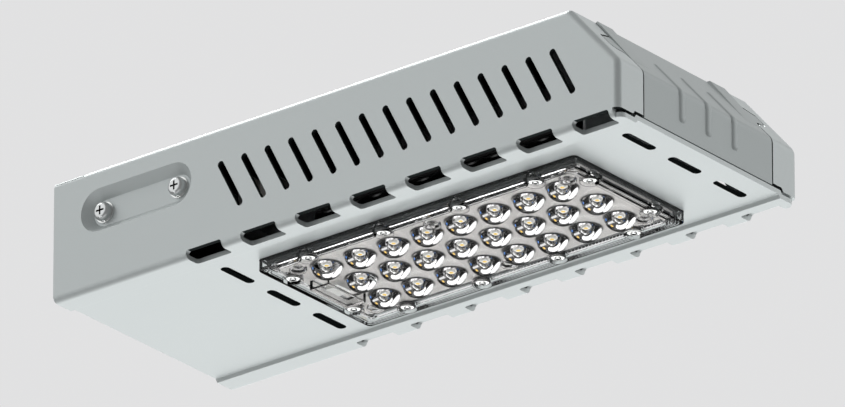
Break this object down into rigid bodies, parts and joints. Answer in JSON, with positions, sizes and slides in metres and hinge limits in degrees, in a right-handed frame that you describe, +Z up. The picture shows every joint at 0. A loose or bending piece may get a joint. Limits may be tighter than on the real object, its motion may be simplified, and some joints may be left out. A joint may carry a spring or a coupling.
{
  "type": "led street light head",
  "caption": "Flat street light head: folded vented housing with a sloped ribbed nose cap, a clear lens module in its underside and a sleeve for a pole arm.",
  "frame": {"origin": "centre of the arm sleeve's mouth, in the pole-end face", "axes": "+X along the head from the pole to the nose, +Y across, +Z up, away from the light"},
  "size_m": [0.4199, 0.166, 0.0914],
  "materials": {
    "housing_paint": "satin powder coat, fine grain",
    "cap_paint": "satin powder coat, a shade darker",
    "lid_paint": "satin powder coat",
    "cast_aluminium": "bead blasted casting",
    "stainless": "bright stainless",
    "zinc_steel": "zinc plated",
    "black_anodised": "gloss black anodised",
    "board_mask": "white solder mask on an aluminium board",
    "phosphor": "yellow phosphor",
    "connector_nylon": "natural nylon",
    "clear_optic": "clear moulded optic",
    "seal_rubber": "black silicone",
    "gland_nylon": "black nylon",
    "lead_jacket": "black round lead",
    "driver_case": "dark anodised extrusion",
    "terminal_nylon": "moulded nylon",
    "surge_case": "moulded case"
  },
  "bodies": {
    "root": {"housing": "housing_paint", "nose_cap": "cap_paint", "nose_cap_screws": "stainless", "rear_cap": "housing_paint", "rear_cap_screws": "stainless", "entry_seal": "seal_rubber", "arm_sleeve": "cast_aluminium", "sleeve_set_screws": "stainless", "side_screws": "stainless", "side_washers": "stainless", "top_lid": "lid_paint", "lid_gasket": "seal_rubber", "lid_screws": "stainless", "module_heat_sink": "black_anodised", "module_board": "board_mask", "led_chips": "phosphor", "board_connector": "connector_nylon", "lens_plate": "clear_optic", "module_seal": "seal_rubber", "module_screws": "stainless", "board_screws": "stainless", "lead_gland": "gland_nylon", "module_lead": "lead_jacket", "supply_lead": "lead_jacket", "gear_tray": "zinc_steel", "tray_nuts": "zinc_steel", "driver": "driver_case", "driver_screws": "zinc_steel", "terminal_block": "terminal_nylon", "surge_protector": "surge_case", "block_screws": "zinc_steel"}
  },
  "joints": []
}
